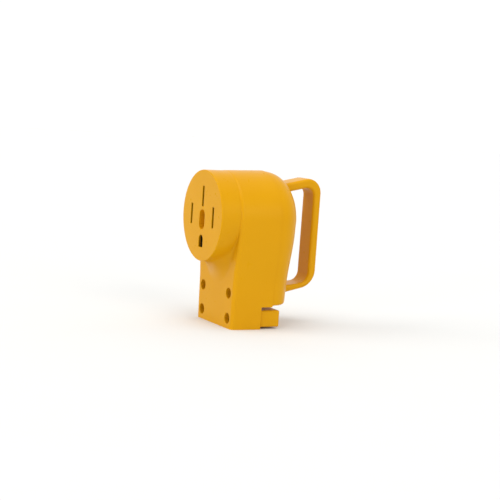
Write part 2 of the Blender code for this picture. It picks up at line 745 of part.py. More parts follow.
def pressure_plate(name, x, rise, material):
    """The plate that a terminal screw presses on the wire."""
    front = WEB_REAR + GAP
    plate = block((x - 6.2, front, rise - 6.2), (x + 6.2, front + PLATE_THICKNESS, rise + 6.2))
    cut(plate, rod(TERMINAL_SCREW_RADIUS + GAP, front - 1, front + PLATE_THICKNESS + 1, x, rise, 16))
    return place(plate, name, material, (x, front, rise))


def terminal_screw(name, x, rise, material):
    seat = WEB_REAR + 2 * GAP + PLATE_THICKNESS
    screw = rear_screw(4.4, TERMINAL_SCREW_RADIUS, seat, 3.2, 33.0, x, rise)
    return place(screw, name, material, (x, seat, rise))


# ---- The whole connector ----------------------------------------------------

clear_scene()
CONNECTOR = new_collection("cord_connector")

YELLOW = plastic_or_metal("yellow moulding", (0.78, 0.42, 0.02), 0.38)
DARK = plastic_or_metal("insulating carrier", (0.03, 0.03, 0.035), 0.5)
BRASS = plastic_or_metal("brass", (0.72, 0.50, 0.20), 0.3, 1.0)
NICKEL = plastic_or_metal("nickel plate", (0.62, 0.60, 0.56), 0.28, 1.0)
STEEL = plastic_or_metal("zinc-plated steel", (0.55, 0.56, 0.57), 0.35, 1.0)
GREEN = plastic_or_metal("green-dyed screw", (0.03, 0.28, 0.08), 0.35, 1.0)

front_housing(YELLOW)
rear_housing(YELLOW)
cable_clamp(YELLOW)
clamp_nuts(STEEL)
lower_block_screws(STEEL)
housing_inserts(BRASS)
contact_carrier(DARK)
contact_retainer(DARK)
carrier_screws(STEEL)

for KIND, SIDE, X, RISE in blade_stations():
    TAIL = f"_{SIDE}" if SIDE else ""
    METAL = BRASS if KIND == "hot" else NICKEL
    blade_contact(f"{KIND}_contact{TAIL}", X, RISE, BRASS)
    blade_spring(f"{KIND}_spring{TAIL}", X, RISE, STEEL)
    pressure_plate(f"{KIND}_pressure_plate{TAIL}", X, RISE, METAL)
    terminal_screw(f"{KIND}_terminal_screw{TAIL}", X, RISE, METAL)

ground_contact(BRASS)
ground_spring(STEEL)
pressure_plate("ground_pressure_plate", 0.0, GROUND_RISE, STEEL)
terminal_screw("ground_terminal_screw", 0.0, GROUND_RISE, GREEN)
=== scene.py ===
"""The visual model of a wire-it-yourself 50 A caravan cord connector.

A yellow moulded front with four sockets, a domed rear cover with a strap
handle, and a screwed cable clamp, standing on a pale floor. Shapes are drawn
in millimetres in the connector's own frame: X across, Y as the depth behind
the mating face and Z as the rise above the barrel's axis. finish_piece() puts
each one in the world in metres.
"""

import functools
import math

import bmesh
import bpy
from mathutils import Matrix, Vector


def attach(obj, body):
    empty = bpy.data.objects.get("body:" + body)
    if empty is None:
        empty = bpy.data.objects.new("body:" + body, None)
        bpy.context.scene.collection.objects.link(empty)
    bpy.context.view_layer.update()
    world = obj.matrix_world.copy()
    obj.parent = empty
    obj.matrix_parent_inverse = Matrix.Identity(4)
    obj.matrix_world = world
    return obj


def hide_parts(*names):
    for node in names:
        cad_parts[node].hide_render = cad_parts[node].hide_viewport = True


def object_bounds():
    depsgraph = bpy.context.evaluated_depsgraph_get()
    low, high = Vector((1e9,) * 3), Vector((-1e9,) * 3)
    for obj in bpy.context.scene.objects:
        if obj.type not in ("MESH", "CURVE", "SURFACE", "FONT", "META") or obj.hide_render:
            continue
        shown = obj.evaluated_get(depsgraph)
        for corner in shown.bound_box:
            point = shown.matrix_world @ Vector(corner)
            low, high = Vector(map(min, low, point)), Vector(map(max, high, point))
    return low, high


bl_info = {
    "name": "Caravan Cord Connector",
    "version": (1, 0, 0),
    "blender": (4, 5, 0),
    "location": "3D View > Sidebar > Connector",
    "description": "Builds a yellow four-socket cord connector with a handle and a cable clamp",
    "category": "Object",
}

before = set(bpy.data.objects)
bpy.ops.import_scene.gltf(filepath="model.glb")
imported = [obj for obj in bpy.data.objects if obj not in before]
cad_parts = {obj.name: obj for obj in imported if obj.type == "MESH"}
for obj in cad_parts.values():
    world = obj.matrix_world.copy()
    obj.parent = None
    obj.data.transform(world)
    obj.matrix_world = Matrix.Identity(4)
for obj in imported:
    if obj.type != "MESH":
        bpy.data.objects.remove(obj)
CAD_LOW, CAD_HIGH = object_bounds()

MM = 0.001
GAP = 0.3  # Between neighbouring pieces
PAST, FAR_PAST = 1.0, 5.0  # How far a cutter runs beyond the surface it opens
TOTAL_DEPTH = (CAD_HIGH.y - CAD_LOW.y) / MM
AXIS_HEIGHT = 95.7
ORIGIN = Vector((0.0, -TOTAL_DEPTH / 2, AXIS_HEIGHT))
SIDES = ((-1, "left"), (1, "right"))


# ---- Sizes and colours a user would change ----------------------------------


def length(name, millimetres, description):
    return bpy.props.FloatProperty(
        name=name, description=description, default=millimetres * MM,
        min=0.0, unit="LENGTH", subtype="DISTANCE",
    )


def colour(name, hex_value, description):
    return bpy.props.FloatVectorProperty(
        name=name, description=description, default=linear(hex_value),
        size=4, min=0.0, max=1.0, subtype="COLOR",
    )


def linear(hex_value):
    """An sRGB hex colour as linear RGBA."""
    channels = [int(hex_value[i:i + 2], 16) / 255 for i in (1, 3, 5)]
    return (*[c / 12.92 if c <= 0.04045 else ((c + 0.055) / 1.055) ** 2.4 for c in channels], 1.0)


class ConnectorShell(bpy.types.PropertyGroup):
    """Sizes of the two housings."""

    face_radius: length("Face radius", 40.0, "Radius of the round mating face")
    body_radius: length("Body radius", 41.9, "Radius of the body's half round top")
    neck_half_width: length("Neck half width", 36.2, "Half the width where the sides end drawing in")
    foot_half_width: length("Foot half width", 35.2, "Half the width at the foot")
    shoulder_depth: length("Shoulder depth", 17.5, "From the mating face back to the body's front plane")
    split_depth: length("Parting depth", 56.0, "From the mating face back to the parting plane")
    rear_depth: length("Rear depth", 80.1, "From the mating face back to the rear wall")
    shoulder_round: length("Shoulder rounding", 3.5, "Rounding of the body's front edge")
    face_round: length("Face rounding", 0.8, "Rounding of the mating face's rim")
    rear_round: length("Rear rounding", 22.0, "Rounding of the domed rear")
    wall: length("Wall", 3.0, "Wall thickness of both mouldings")


class ConnectorSockets(bpy.types.PropertyGroup):
    """Sizes of the openings in the mating face."""

    hot_offset: length("Hot offset", 21.6, "From the middle to either hot slot")
    neutral_rise: length("Neutral rise", 16.9, "From the axis up to the neutral slot")
    ground_drop: length("Ground drop", 22.4, "From the axis down to the ground socket")
    slot_width: length("Slot width", 3.4, "Width of the flat slots")
    slot_length: length("Slot length", 18.0, "Length of the flat slots")
    ground_width: length("Ground width", 8.2, "Width of the ground socket")
    ground_length: length("Ground length", 10.8, "Height of the ground socket")
    mouth_round: length("Mouth rounding", 0.3, "Rounding of the openings' edges")


class ConnectorHandle(bpy.types.PropertyGroup):
    """Sizes of the strap handle."""

    width: length("Width", 22.0, "Width of the strap")
    thickness: length("Thickness", 7.4, "Thickness of the strap at the grip")
    rounding: length("Edge rounding", 2.6, "Rounding of the strap's edges")


class ConnectorClamp(bpy.types.PropertyGroup):
    """Sizes of the cable entry."""

    cable_radius: length("Cable radius", 13.4, "Radius of the cable's passage")
    groove: length("Rib height", 1.1, "Height of the gripping ribs")
    half_width: length("Half width", 34.2, "Half the clamp's width")
    rounding: length("Edge rounding", 1.5, "Rounding of the clamp's edges")
    screw_offset: length("Screw offset", 25.7, "From the middle to the screws in the lower block")
    well_radius: length("Well radius", 4.7, "Radius of the wells over the screw heads")


class ConnectorFasteners(bpy.types.PropertyGroup):
    """Sizes of the screws' threads and drives."""

    thread_pitch: length("Thread pitch", 0.8, "Rise of every thread in one turn")
    recess_width: length("Recess width", 1.0, "Width of each arm of the cross recess")
    knurl_depth: length("Knurl depth", 0.3, "Depth of the knurls on the brass inserts")
    knurls: bpy.props.IntProperty(
        name="Knurls", description="Ridges round each brass insert", default=28, min=6, max=60
    )


class ConnectorFinishes(bpy.types.PropertyGroup):
    """Colours of the materials."""

    moulding: colour("Moulding", "#D79C0C", "Body colour of the yellow plastic")
    moulding_worn: colour("Moulding, drained", "#D1940A", "Tone where the pigment thins")
    carrier: colour("Carrier", "#2A211B", "The dark insulating carrier")
    brass: colour("Brass", "#C9A24C", "Contacts, hot screws and inserts")
    nickel: colour("Nickel", "#B9B6AF", "Nickel-plated neutral parts")
    spring: colour("Spring steel", "#7C7F84", "The bands round the fingers")
    zinc: colour("Zinc plate", "#AEB2B6", "Zinc-plated screws and nuts")
    green: colour("Green screw", "#1F7A35", "The dyed ground screw")
    floor: colour("Floor", "#E2E2E0", "The pale floor")


def sizes(group, *names):
    """Sizes out of a property group, in millimetres: one number for one name, a list for several."""
    held = getattr(bpy.context.scene, f"connector_{group}")
    values = [getattr(held, name) / MM for name in names]
    return values if len(values) > 1 else values[0]


# ---- Nodes and materials ----------------------------------------------------


def fill(tree, node, inputs):
    """Gives a node's inputs values, or links from other sockets. A list links several to one input."""
    for key, value in inputs.items():
        for one in value if isinstance(value, list) else [value]:
            if isinstance(one, bpy.types.NodeSocket):
                tree.links.new(one, node.inputs[key])
            else:
                node.inputs[key].default_value = one


def add_node(tree, kind, inputs=None, **settings):
    """Adds a node, sets its settings and fills its inputs."""
    made = tree.nodes.new(kind)
    for key, value in settings.items():
        setattr(made, key, value)
    fill(tree, made, inputs or {})
    return made


def new_material(name):
    material = bpy.data.materials.new(name)
    material.use_nodes = True
    tree = material.node_tree
    shader = tree.nodes["Principled BSDF"]
    place = add_node(tree, "ShaderNodeTexCoord").outputs["Object"]
    return material, tree, shader, place


def noise(tree, place, patch_mm, detail, **more):
    """Noise whose patches are about PATCH_MM across."""
    inputs = {"Vector": place, "Scale": 1 / (patch_mm * MM), "Detail": detail, **more}
    return add_node(tree, "ShaderNodeTexNoise", inputs).outputs["Fac"]


def stretched(tree, place, scale):
    return add_node(tree, "ShaderNodeMapping", {"Vector": place, "Scale": scale}).outputs["Vector"]


def two_tone(tree, share, first, second):
    inputs = {0: share, 6: tuple(first), 7: tuple(second)}
    return add_node(tree, "ShaderNodeMix", inputs, data_type="RGBA").outputs[2]


def darker(tint, share):
    return tuple(c * share for c in tint[:3]) + (1.0,)


def spread(tree, value, low, high, start=0.0, end=1.0):
    """A value between START and END carried over to the range from LOW to HIGH."""
    inputs = {"Value": value, "From Min": start, "From Max": end, "To Min": low, "To Max": high}
    return add_node(tree, "ShaderNodeMapRange", inputs).outputs["Result"]


def relief(tree, height, strength, depth_mm):
    inputs = {"Height": height, "Strength": strength, "Distance": depth_mm * MM}
    return add_node(tree, "ShaderNodeBump", inputs).outputs["Normal"]


FLOW_MM, HAZE_MM, GRAIN_MM = 38.0, 6.0, 0.45


def yellow_plastic():
    """Pigmented nylon, injection moulded in a lightly spark-eroded tool.

    The eye gets an even satin yellow, a slow drift of tone where the melt
    flowed, and a fine grain. The real grain is about 0.1 mm, drawn here about
    four times as coarse so that it shows.
    """
    finishes = bpy.context.scene.connector_finishes
    material, tree, shader, place = new_material("injection_moulded_yellow_nylon")
    flow = noise(tree, place, FLOW_MM, 2.0, Roughness=0.4)
    haze = noise(tree, place, HAZE_MM, 4.0)
    grain = noise(tree, place, GRAIN_MM, 3.0)
    fill(
        tree, shader,
        {
            "Base Color": two_tone(tree, flow, finishes.moulding, finishes.moulding_worn),
            "Roughness": spread(tree, haze, 0.27, 0.34, 0.3, 0.7),
            "Normal": relief(tree, grain, 0.22, 0.03),
            "IOR": 1.5,
            "Specular IOR Level": 0.08,
        },
    )
    return material


def dark_plastic():
    """Glass-filled phenolic, compression moulded: dark brown and dull, with short fibre streaks."""
    material, tree, shader, place = new_material("moulded_dark_phenolic")
    fibre = noise(tree, stretched(tree, place, (1.0, 0.25, 1.0)), 0.8, 4.0)
    base = bpy.context.scene.connector_finishes.carrier
    fill(
        tree, shader,
        {
            "Base Color": two_tone(tree, fibre, base, darker(base, 0.75)),
            "Normal": relief(tree, fibre, 0.3, 0.05),
            "Roughness": 0.55,
            "IOR": 1.6,
        },
    )
    return material


def worked_metal(name, tint, roughness, line_mm, stretch, dulling):
    """A metal with the lines that rolling, drawing or turning left, and slightly duller patches.

    LINE_MM is the lines' spacing, STRETCH how long they run along Z, and
    DULLING how much darker the handled patches are.
    """
    material, tree, shader, place = new_material(name)
    lines = noise(tree, stretched(tree, place, (1.0, 1.0, 1.0 / stretch)), line_mm, 3.0)
    patches = noise(tree, place, 4.0, 3.0)
    fill(
        tree, shader,
        {
            "Base Color": two_tone(tree, patches, tint, darker(tint, dulling)),
            "Roughness": spread(tree, lines, roughness - 0.06, roughness + 0.06),
            "Normal": relief(tree, lines, 0.2, 0.02),
            "Metallic": 1.0,
        },
    )
    return material


def metals():
    """Every metal by its record slot."""
    finishes = bpy.context.scene.connector_finishes
    return {
        # Brass strip, rolled and blanked: warm, with fine lines along the strip.
        "brass": worked_metal("rolled_brass_strip", finishes.brass, 0.3, 0.2, 8.0, 0.86),
        # Bright nickel over brass: pale and slightly warm, nearly without lines.
        "nickel_plate": worked_metal("bright_nickel_plate", finishes.nickel, 0.22, 0.3, 2.0, 0.92),
        # Hardened strip with its blued scale rubbed off: grey and dull.
        "spring_steel": worked_metal("tempered_spring_steel", finishes.spring, 0.36, 0.2, 6.0, 0.8),
        # Barrel-plated zinc with a clear passivate: pale, blue-grey and satin.
        "zinc_steel": worked_metal("barrel_plated_zinc_steel", finishes.zinc, 0.34, 0.3, 1.5, 0.88),
        # The same plate with a green dye in its passivate.
        "green_screw": worked_metal("green_dyed_zinc_plate", finishes.green, 0.36, 0.3, 1.5, 0.8),
    }


def shared_material(slot_name):
    """The material for a record slot, made on first use."""
    made = bpy.app.driver_namespace.setdefault("connector_materials", {})
    if not made:
        made.update(metals(), yellow_moulding=yellow_plastic(), carrier_plastic=dark_plastic())
    return made[slot_name]


# ---- Solids, in millimetres -------------------------------------------------


def new_object(name, data):
    obj = bpy.data.objects.new(name, data)
    bpy.context.scene.collection.objects.link(obj)
    return obj


def apply_modifiers(obj):
    """Replaces an object's mesh by what its modifiers make of it, and removes them."""
    graph = bpy.context.evaluated_depsgraph_get()
    mesh = bpy.data.meshes.new_from_object(obj.evaluated_get(graph))
    obj.modifiers.clear()
    obj.data = mesh


def solid(bm):
    """A helper object holding the finished bmesh, its faces pointing out."""
    bmesh.ops.recalc_face_normals(bm, faces=bm.faces)
    mesh = bpy.data.meshes.new("solid")
    bm.to_mesh(mesh)
    bm.free()
    return new_object("solid", mesh)


def round_edges(bm, edges, size, segments):
    bmesh.ops.bevel(bm, geom=edges, offset=size, segments=segments, profile=0.5, affect="EDGES")


def block(low, high, rounding=0.0, segments=5):
    """A box between two corners, with all its edges rounded if asked."""
    bm = bmesh.new()
    size = Vector(high) - Vector(low)
    centre = (Vector(high) + Vector(low)) / 2
    shape = Matrix.Translation(centre) @ Matrix.Diagonal((*size, 1.0))
    bmesh.ops.create_cube(bm, size=1.0, matrix=shape)
    if rounding:
        round_edges(bm, bm.edges[:], rounding, segments)
    return solid(bm)


def prism(outline, front, rear, front_round=0.0, rear_round=0.0, segments=6):
    """An outline of (x, rise) points carried from front to rear, with rounded rims."""
    bm = bmesh.new()
    face = bm.faces.new([bm.verts.new((x, front, rise)) for x, rise in outline])
    grown = bmesh.ops.extrude_face_region(bm, geom=[face])["geom"]
    far = [v for v in grown if isinstance(v, bmesh.types.BMVert)]
    bmesh.ops.translate(bm, vec=(0, rear - front, 0), verts=far)
    for depth, size in ((front, front_round), (rear, rear_round)):
        if size:
            rim = [e for e in bm.edges if all(abs(v.co.y - depth) < 1e-4 for v in e.verts)]
            round_edges(bm, rim, size, segments)
    return solid(bm)


def arc(radius, x, rise, start, end, steps):
    """Points of an arc about (x, rise), between two angles in degrees."""
    points = []
    for i in range(steps + 1):
        angle = math.radians(start + (end - start) * i / steps)
        points.append((x + radius * math.cos(angle), rise + radius * math.sin(angle)))
    return points


def circle(radius, x=0.0, rise=0.0, steps=48):
    return arc(radius, x, rise, 0.0, 360.0, steps)[:-1]


def rod(radius, front, rear, x=0.0, rise=0.0, steps=48, rim=0.0):
    """A cylinder along Y. Its front rim can be rounded."""
    return prism(circle(radius, x, rise, steps), front, rear, front_round=rim, segments=5)


def upright_rod(radius, bottom, top, y, steps=72):
    bm = bmesh.new()
    bmesh.ops.create_cone(
        bm, cap_ends=True, segments=steps, radius1=radius, radius2=radius,
        depth=top - bottom, matrix=Matrix.Translation((0, y, (bottom + top) / 2)),
    )
    return solid(bm)


def loft(rings):
    """A solid through matching rings of points, closed at the first and the last."""
    bm = bmesh.new()
    loops = [[bm.verts.new(point) for point in ring] for ring in rings]
    for near, far in zip(loops, loops[1:]):
        for k in range(len(near)):
            following = (k + 1) % len(near)
            bm.faces.new((near[k], near[following], far[following], far[k]))
    bm.faces.new(loops[0])
    bm.faces.new(reversed(loops[-1]))
    return solid(bm)


def strap(outer, inner, half, rounding, steps=6):
    """A bent strap between an outer and an inner line of (y, rise) points that match one for one.

    It reaches HALF each way along X, and its long edges are rounded.
    """
    rings = []
    for far, near in zip(outer, inner):
        near, far = Vector(near), Vector(far)
        middle, across = (near + far) / 2, (far - near).normalized()
        reach = (far - near).length / 2
        edge = min(rounding, 0.95 * reach)
        ring = []
        for quarter, (side, way) in enumerate(((1, 1), (-1, 1), (-1, -1), (1, -1))):
            for k in range(steps + 1):
                turn = math.pi / 2 * (quarter + k / steps)
                x = side * (half - edge) + edge * math.cos(turn)
                ring.append((x, *(middle + across * (way * (reach - edge) + edge * math.sin(turn)))))
        rings.append(ring)
    return loft(rings)


def mouth_cutter(outline, surface, floor, rounding, steps=4):
    """A cutter for an opening in a flat surface, whose mouth flares in a quarter round.

    OUTLINE(grow) gives the opening's outline, made larger by GROW all round.
    """
    rings = [(surface - PAST, rounding)]
    for k in range(steps + 1):
        bend = math.pi / 2 * k / steps
        rings.append((surface + rounding * (1 - math.cos(bend)), rounding * (1 - math.sin(bend))))
    rings.append((floor, 0.0))
    return loft([[(x, depth, rise) for x, rise in outline(grow)] for depth, grow in rings])


def combine(target, tools, operation):
    """Joins helper solids to the target, or cuts them from it, one after another."""
    for tool in tools:
        modifier = target.modifiers.new("combine", "BOOLEAN")
        modifier.object = tool
        modifier.operation = operation
        apply_modifiers(target)
        bpy.data.objects.remove(tool)
    return target


def join(target, *tools):
    return combine(target, tools, "UNION")


def cut(target, *tools):
    return combine(target, tools, "DIFFERENCE")


def finish_piece(obj, name, body, slot_name, replaced, smooth_angle=35.0):
    """Puts a solid in the world in metres, gives it its finish, and ties it to the frame."""
    mesh = obj.data
    mesh.transform(Matrix.Scale(MM, 4) @ Matrix.Translation(ORIGIN))
    bm = bmesh.new()
    bm.from_mesh(mesh)
    bmesh.ops.remove_doubles(bm, verts=bm.verts, dist=1e-7)
    bmesh.ops.dissolve_degenerate(bm, edges=bm.edges, dist=1e-7)
    bm.to_mesh(mesh)
    bm.free()
    mesh.shade_smooth()
    mesh.set_sharp_from_angle(angle=math.radians(smooth_angle))
    weighted = obj.modifiers.new("flat faces stay flat", "WEIGHTED_NORMAL")
    weighted.keep_sharp = True
    return tie_to_frame(obj, name, body, slot_name, replaced)


def tie_to_frame(obj, name, body, slot_name, replaced):
    obj.name = name
    obj.data.name = name
    obj.data.materials.clear()
    obj.data.materials.append(shared_material(slot_name))
    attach(obj, body)
    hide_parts(*replaced)
    return obj


# ---- Outlines ---------------------------------------------------------------

BODY_ARC_RISE = -1.7
DRAFT = 0.00065
TAPER_TOP, TAPER_BOTTOM = -12.0, -60.0
FOOT_RISE = -AXIS_HEIGHT
REAR_LEAN, REAR_FLOOR = 3.9, -75.0


def smoothstep(share):
    share = min(max(share, 0.0), 1.0)
    return share * share * (3 - 2 * share)


def half_width(rise):
    """Half the body's width at a rise: full at the barrel, drawn in at the neck, less at the foot."""
    full, neck_width, foot_width = sizes("shell", "body_radius", "neck_half_width", "foot_half_width")
    neck = smoothstep((TAPER_TOP - rise) / (TAPER_TOP - TAPER_BOTTOM))
    foot = max((TAPER_BOTTOM - rise) / (TAPER_BOTTOM - FOOT_RISE), 0.0)
    return full - neck * (full - neck_width) - foot * (neck_width - foot_width)


def body_outline(inset, bottom, arc_steps=84, side_steps=20):
    """The body seen from the front, drawn in by an inset: a half round top on drawn-in sides."""
    top = arc(sizes("shell", "body_radius") - inset, 0.0, BODY_ARC_RISE, 0.0, 180.0, arc_steps)
    span = TAPER_TOP - TAPER_BOTTOM
    rises = [TAPER_TOP - span * i / side_steps for i in range(side_steps + 1)] + [bottom]
    rises = [rise for rise in rises if rise >= bottom]
    left = [(inset - half_width(rise), rise) for rise in rises]
    right = [(half_width(rise) - inset, rise) for rise in reversed(rises)]
    return top + left + right


def body_solid(inset, bottom, front, rear, front_round=0.0, rear_round=0.0, segments=7):
    """The body's outline carried from front to rear.

    Its sides and top widen with depth as far as the parting plane, as a
    moulding's draft does, and its rear wall leans in towards the foot.
    """
    shoulder, split, rear_wall = sizes("shell", "shoulder_depth", "split_depth", "rear_depth")
    body = prism(body_outline(inset, bottom), front, rear, front_round, rear_round, segments)
    for vertex in body.data.vertices:
        point = vertex.co
        widening = 1.0 + DRAFT * (min(point.y, split) - shoulder)
        behind = max(point.y - split, 0.0) / (rear_wall - split)
        down = max(point.z / REAR_FLOOR, 0.0)
        point.x *= widening
        point.z *= widening if point.z > 0.0 else 1.0
        point.y -= REAR_LEAN * behind * down
    return body


def obround(width, height, x, rise, steps=20):
    """A slot with round ends, longer in Z."""
    radius = width / 2
    top = arc(radius, x, rise + height / 2 - radius, 0.0, 180.0, steps)
    return top + [(2 * x - across, 2 * rise - up) for across, up in top]


def rectangle(width, height, x, rise):
    corners = ((1, 1), (-1, 1), (-1, -1), (1, -1))
    return [(x + sx * width / 2, rise + sz * height / 2) for sx, sz in corners]


def ground_outline(width, height, x, rise, steps=24):
    """The ground socket's outline: round above, flat below."""
    radius, foot = width / 2, rise - height / 2
    top = arc(radius, x, rise + height / 2 - radius, 0.0, 180.0, steps)
    return top + [(x - radius, foot), (x + radius, foot)]


# ---- The front housing ------------------------------------------------------

FACE_THICKNESS, BARREL_BORE, BARREL_ROOT = 3.5, 36.7, 6.0
SKIN, RELIEF_WIDTH, GROUND_RELIEF_WIDTH, RELIEF_MARGIN = 0.9, 8.6, 12.6, 1.0
SCOOP_SIDE, SCOOP_REACH, SCOOP_DEPTH = 0.8, 19.5, 16.8
SCOOP_FIRST, SCOOP_LAST, SCOOP_ROOT = -174.0, -6.0, 1.5
POCKET = dict(width=10.6, height=17.8, rise=-3.5, depth=6.2, wall=1.6)
CHAMBER_FLOOR, SKIRT_RISE = -73.0, -76.0
CARRIER_SCREW = dict(radius=1.6, head_radius=3.4, head=2.2, seat=32.0, tip=5.6)
CARRIER_SCREW_X, CARRIER_SCREW_RISE, CARRIER_HOLE_START = 18.0, 20.0, 4.8
CARRIER_BOSS_RADIUS, CARRIER_BOSS_DEPTH = 4.1, 9.2
CABLE_DEPTH, RIB_PITCH, GROOVE_HALF = 45.5, 4.2, 1.3
CLAMP_TOP, CLAMP_BOTTOM, CLAMP_REAR = -79.2, -94.0, 65.0
HOUSING_SCREW = dict(radius=2.0, head_radius=4.0, head=3.0, seat=36.0, tip=60.0, rise=-64.9)
CLAMP_SCREW = dict(radius=2.5, head_radius=4.3, head=3.2, seat=34.0, tip=64.0, rise=-86.9)
BOSS_RADIUS, BOSS_ROOT, BOSS_MEETING = 6.5, 1.5, 50.0
NUT_SIDE, NUT_DEPTH, NUT_THICKNESS, NUT_ROUND = 8.0, 52.3, 4.0, 0.35
LIP_DEPTH, LIP_THICKNESS = 53.0, 2.0
WIDE = 60.0  # Past the body's sides


def scoop(turns=110, steps=18):
    """The hollow sweep from the barrel down to the front of the lower block.

    It is a hollow fillet round the lower half of the barrel, narrow at the
    sides. At the bottom it runs from just behind the mating face's rim to far
    down the block.
    """
    face, shoulder = sizes("shell", "face_radius", "shoulder_depth")
    rings = []
    for i in range(turns + 1):
        angle = math.radians(SCOOP_FIRST + (SCOOP_LAST - SCOOP_FIRST) * i / turns)
        below = max((-math.sin(angle) - 0.4) / 0.6, 0.0) ** 3
        reach = SCOOP_SIDE + (SCOOP_REACH - SCOOP_SIDE) * below
        depth = min(reach, SCOOP_DEPTH)
        section = [(face - 2.0, shoulder + SCOOP_ROOT), (face - 2.0, shoulder - depth)]
        for k in range(steps + 1):
            bend = math.pi / 2 * k / steps
            section.append(
                (face + reach * (1 - math.cos(bend)), shoulder - depth * (1 - math.sin(bend)))
            )
        section.append((face + reach, shoulder + SCOOP_ROOT))
        rings.append([(r * math.cos(angle), y, r * math.sin(angle)) for r, y in section])
    return loft(rings)


def slot_places():
    """The middles of the three flat slots: left hot, right hot and neutral."""
    hot, neutral = sizes("sockets", "hot_offset", "neutral_rise")
    return (-hot, 0.0), (hot, 0.0), (0.0, neutral)


def socket_mouths(surface, floor):
    """Cutters for the four sockets' openings and the blind pocket between them."""
    slot = sizes("sockets", "slot_width", "slot_length")
    ground = sizes("sockets", "ground_width", "ground_length")
    drop, rounding = sizes("sockets", "ground_drop", "mouth_round")
    pocket = (POCKET["width"], POCKET["height"])
    openings = [(rectangle, slot, x, rise, floor) for x, rise in slot_places()]
    openings.append((ground_outline, ground, 0.0, -drop, floor))
    openings.append((obround, pocket, 0.0, POCKET["rise"], POCKET["depth"]))
    return [
        mouth_cutter(
            lambda grow: shape(size[0] + 2 * grow, size[1] + 2 * grow, x, rise),
            surface, end, rounding,
        )
        for shape, size, x, rise, end in openings
    ]


def socket_reliefs():
    """Cutters that thin the face from behind round each socket, down to a skin."""
    slot, ground, drop = sizes("sockets", "slot_length", "ground_length", "ground_drop")
    outlines = [
        rectangle(RELIEF_WIDTH, slot + 2 * RELIEF_MARGIN, x, rise) for x, rise in slot_places()
    ]
    outlines.append(rectangle(GROUND_RELIEF_WIDTH, ground + 2 * RELIEF_MARGIN, 0.0, -drop))
    return [prism(outline, SKIN, FACE_THICKNESS + 0.5) for outline in outlines]


def carrier_screw_places():
    return [(sx * CARRIER_SCREW_X, sz * CARRIER_SCREW_RISE) for sx in (-1, 1) for sz in (-1, 1)]


def cable_cutter(bottom, top):
    """The cable's round passage, with grooves that leave gripping ribs between them."""
    radius, groove = sizes("clamp", "cable_radius", "groove")
    middle = (CLAMP_TOP + CLAMP_BOTTOM) / 2
    grooves = [
        upright_rod(radius + groove, rise - GROOVE_HALF, rise + GROOVE_HALF, CABLE_DEPTH)
        for rise in (middle - RIB_PITCH, middle, middle + RIB_PITCH)
    ]
    return join(upright_rod(radius, bottom, top, CABLE_DEPTH), *grooves)


class CONNECTOR_OT_front_housing(bpy.types.Operator):
    """Build the yellow front moulding: mating face, barrel, body shell and lower block in one piece"""

    bl_idname = "connector.front_housing"
    bl_label = "Front Housing"

    def execute(self, context):
        shoulder, split, wall = sizes("shell", "shoulder_depth", "split_depth", "wall")
        face, face_round, shoulder_round = sizes("shell", "face_radius", "face_round", "shoulder_round")
        screw_x, well = sizes("clamp", "screw_offset", "well_radius")
        shell = body_solid(0.0, FOOT_RISE - 10, shoulder, split, front_round=shoulder_round)
        join(shell, rod(face, 0.0, shoulder + BARREL_ROOT, steps=180, rim=face_round), scoop())
        cut(
            shell,
            block((-WIDE, 0, FOOT_RISE - 20), (WIDE, split + FAR_PAST, FOOT_RISE)),
            rod(BARREL_BORE, FACE_THICKNESS, shoulder + wall + PAST, steps=120),
            body_solid(wall, CHAMBER_FLOOR, shoulder + wall, split + FAR_PAST),
            block((-WIDE, CABLE_DEPTH, FOOT_RISE - FAR_PAST), (WIDE, split + FAR_PAST, SKIRT_RISE)),
        )
        lining, root = 2 * POCKET["wall"], FACE_THICKNESS - PAST
        pocket = obround(POCKET["width"] + lining, POCKET["height"] + lining, 0.0, POCKET["rise"])
        places = carrier_screw_places()
        join(
            shell,
            prism(pocket, root, POCKET["depth"] + POCKET["wall"]),
            *[rod(CARRIER_BOSS_RADIUS, root, CARRIER_BOSS_DEPTH, x, rise) for x, rise in places],
            *[
                rod(
                    BOSS_RADIUS, shoulder + BOSS_ROOT, BOSS_MEETING, side * screw_x, HOUSING_SCREW["rise"]
                )
                for side, _ in SIDES
            ],
        )
        hole, hole_end = CARRIER_SCREW["radius"] + GAP, CARRIER_BOSS_DEPTH + PAST
        cut(
            shell,
            *socket_mouths(0.0, FACE_THICKNESS + PAST),
            *[rod(hole, CARRIER_HOLE_START, hole_end, x, rise, 24) for x, rise in places],
            cable_cutter(FOOT_RISE - FAR_PAST, CHAMBER_FLOOR + FAR_PAST),
            *socket_reliefs(),
        )
        mouth_round = sizes("sockets", "mouth_round")
        for screw in (HOUSING_SCREW, CLAMP_SCREW):
            seat, rise = screw["seat"], screw["rise"]
            for side, _ in SIDES:
                x = side * screw_x
                cut(
                    shell,
                    mouth_cutter(lambda grow: circle(well + grow, x, rise), shoulder, seat, mouth_round),
                    rod(screw["radius"] + GAP, seat - PAST, BOSS_MEETING + FAR_PAST, x, rise, 32),
                )
        finish_piece(shell, "front_moulding", "connector", "yellow_moulding", ["front_housing"])
        return {"FINISHED"}


# ---- The rear housing -------------------------------------------------------


ARM_ROOT = 66.0  # Inside the cover, where both arms start


